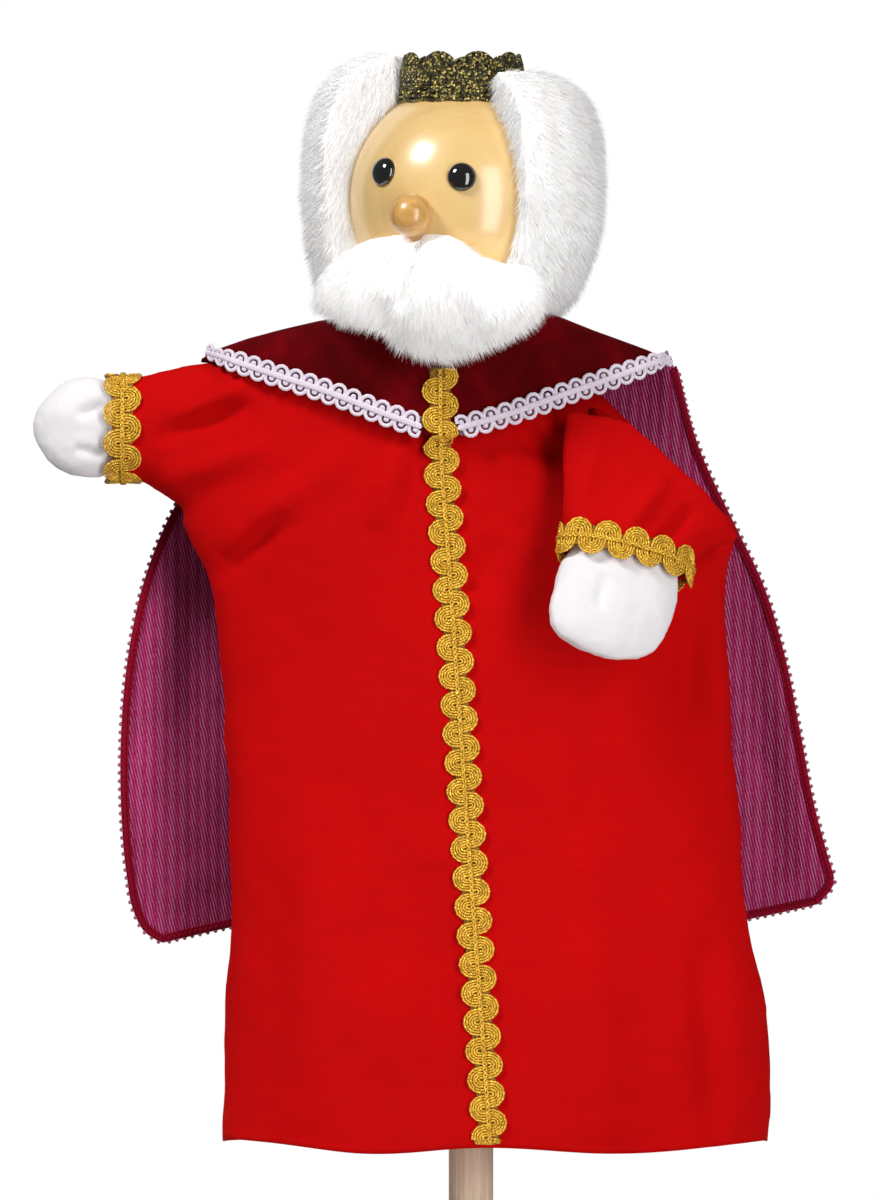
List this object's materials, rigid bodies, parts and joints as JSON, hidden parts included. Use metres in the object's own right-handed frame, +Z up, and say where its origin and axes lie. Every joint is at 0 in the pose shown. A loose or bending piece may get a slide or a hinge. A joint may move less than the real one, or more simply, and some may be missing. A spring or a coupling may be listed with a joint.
{
  "type": "hand puppet",
  "caption": "Glove-style hand puppet of a bearded king with a turned wooden head, fur hair, braid crown, gown with arms, collar and cape, on a display rod.",
  "frame": {"origin": "centre of the display rod's foot", "axes": "+Z up the rod, the puppet faces -Y, +X to the viewer's right"},
  "size_m": [0.215, 0.0852, 0.321],
  "materials": {
    "display_rod": "plain sanded dowel",
    "gown_front": "plain-weave cotton",
    "gown_back": "plain-weave cotton",
    "front_braid": "gold lurex scroll gimp",
    "collar": "cotton velvet",
    "collar_trim_left": "white looped gimp",
    "collar_trim_right": "white looped gimp",
    "cape_panel": "velvet with a knitted wrong side",
    "cape_edging": "overlocked picot edge",
    "sleeve_left": "plain-weave cotton",
    "cuff_braid_left": "gold lurex scroll gimp",
    "hand_left_palm": "white cotton",
    "hand_left_back": "white cotton",
    "sleeve_right": "plain-weave cotton",
    "cuff_braid_right": "gold lurex scroll gimp",
    "hand_right_palm": "white cotton",
    "hand_right_back": "white cotton",
    "head_ball": "clear gloss lacquer on pale wood",
    "neck_tube": "wound card tube",
    "neck_gather": "plain-weave cotton, gathered",
    "neck_cord": "twisted cotton cord",
    "nose_bead": "varnished wooden bead",
    "nose_pin": "birch pin",
    "eye_left": "polished black safety eye",
    "eye_right": "polished black safety eye",
    "hair_left": "long-pile white fur cloth",
    "hair_right": "long-pile white fur cloth",
    "beard": "long-pile white fur cloth",
    "crown_band": "dark metallic scroll gimp"
  },
  "bodies": {
    "rod": {"display_rod": "display_rod"},
    "glove": {"gown_front": "gown_front", "gown_back": "gown_back", "front_braid": "front_braid", "collar": "collar", "collar_trim_left": "collar_trim_left", "collar_trim_right": "collar_trim_right"},
    "cape": {"cape_panel": "cape_panel", "cape_edging": "cape_edging"},
    "arm_left": {"sleeve_left": "sleeve_left", "cuff_braid_left": "cuff_braid_left", "hand_left_palm": "hand_left_palm", "hand_left_back": "hand_left_back"},
    "arm_right": {"sleeve_right": "sleeve_right", "cuff_braid_right": "cuff_braid_right", "hand_right_palm": "hand_right_palm", "hand_right_back": "hand_right_back"},
    "neck": {"neck_gather": "neck_gather", "neck_cord": "neck_cord"},
    "head": {"head_ball": "head_ball", "neck_tube": "neck_tube", "nose_bead": "nose_bead", "nose_pin": "nose_pin", "eye_left": "eye_left", "eye_right": "eye_right", "hair_left": "hair_left", "hair_right": "hair_right", "beard": "beard", "crown_band": "crown_band"}
  },
  "joints": [
    {"name": "rod_lift", "type": "slide", "parent": "rod", "child": "glove", "axis": [0, 0, 1], "range_m": [0, 0.25]},
    {"name": "head_nod", "type": "hinge", "parent": "glove", "child": "neck", "pos_m": [0, 0, 0.265], "axis": [1, 0, 0], "range_deg": [-5, 5]},
    {"name": "head_turn", "type": "hinge", "parent": "neck", "child": "head", "pos_m": [-0.0024, 0, 0.282], "axis": [0, 0, 1], "range_deg": [-15, 35]},
    {"name": "arm_left_swing", "type": "hinge", "parent": "glove", "child": "arm_left", "pos_m": [-0.072, 0, 0.2205], "axis": [0, 1, 0], "range_deg": [-22, 20]},
    {"name": "arm_right_unfold", "type": "hinge", "parent": "glove", "child": "arm_right", "pos_m": [0.03142, -0.018, 0.22363], "axis": [-0.7183, 0, 0.6958], "range_deg": [0, 100]},
    {"name": "cape_swing", "type": "hinge", "parent": "glove", "child": "cape", "pos_m": [0, 0.0235, 0.237], "axis": [1, 0, 0], "range_deg": [0, 60]}
  ]
}
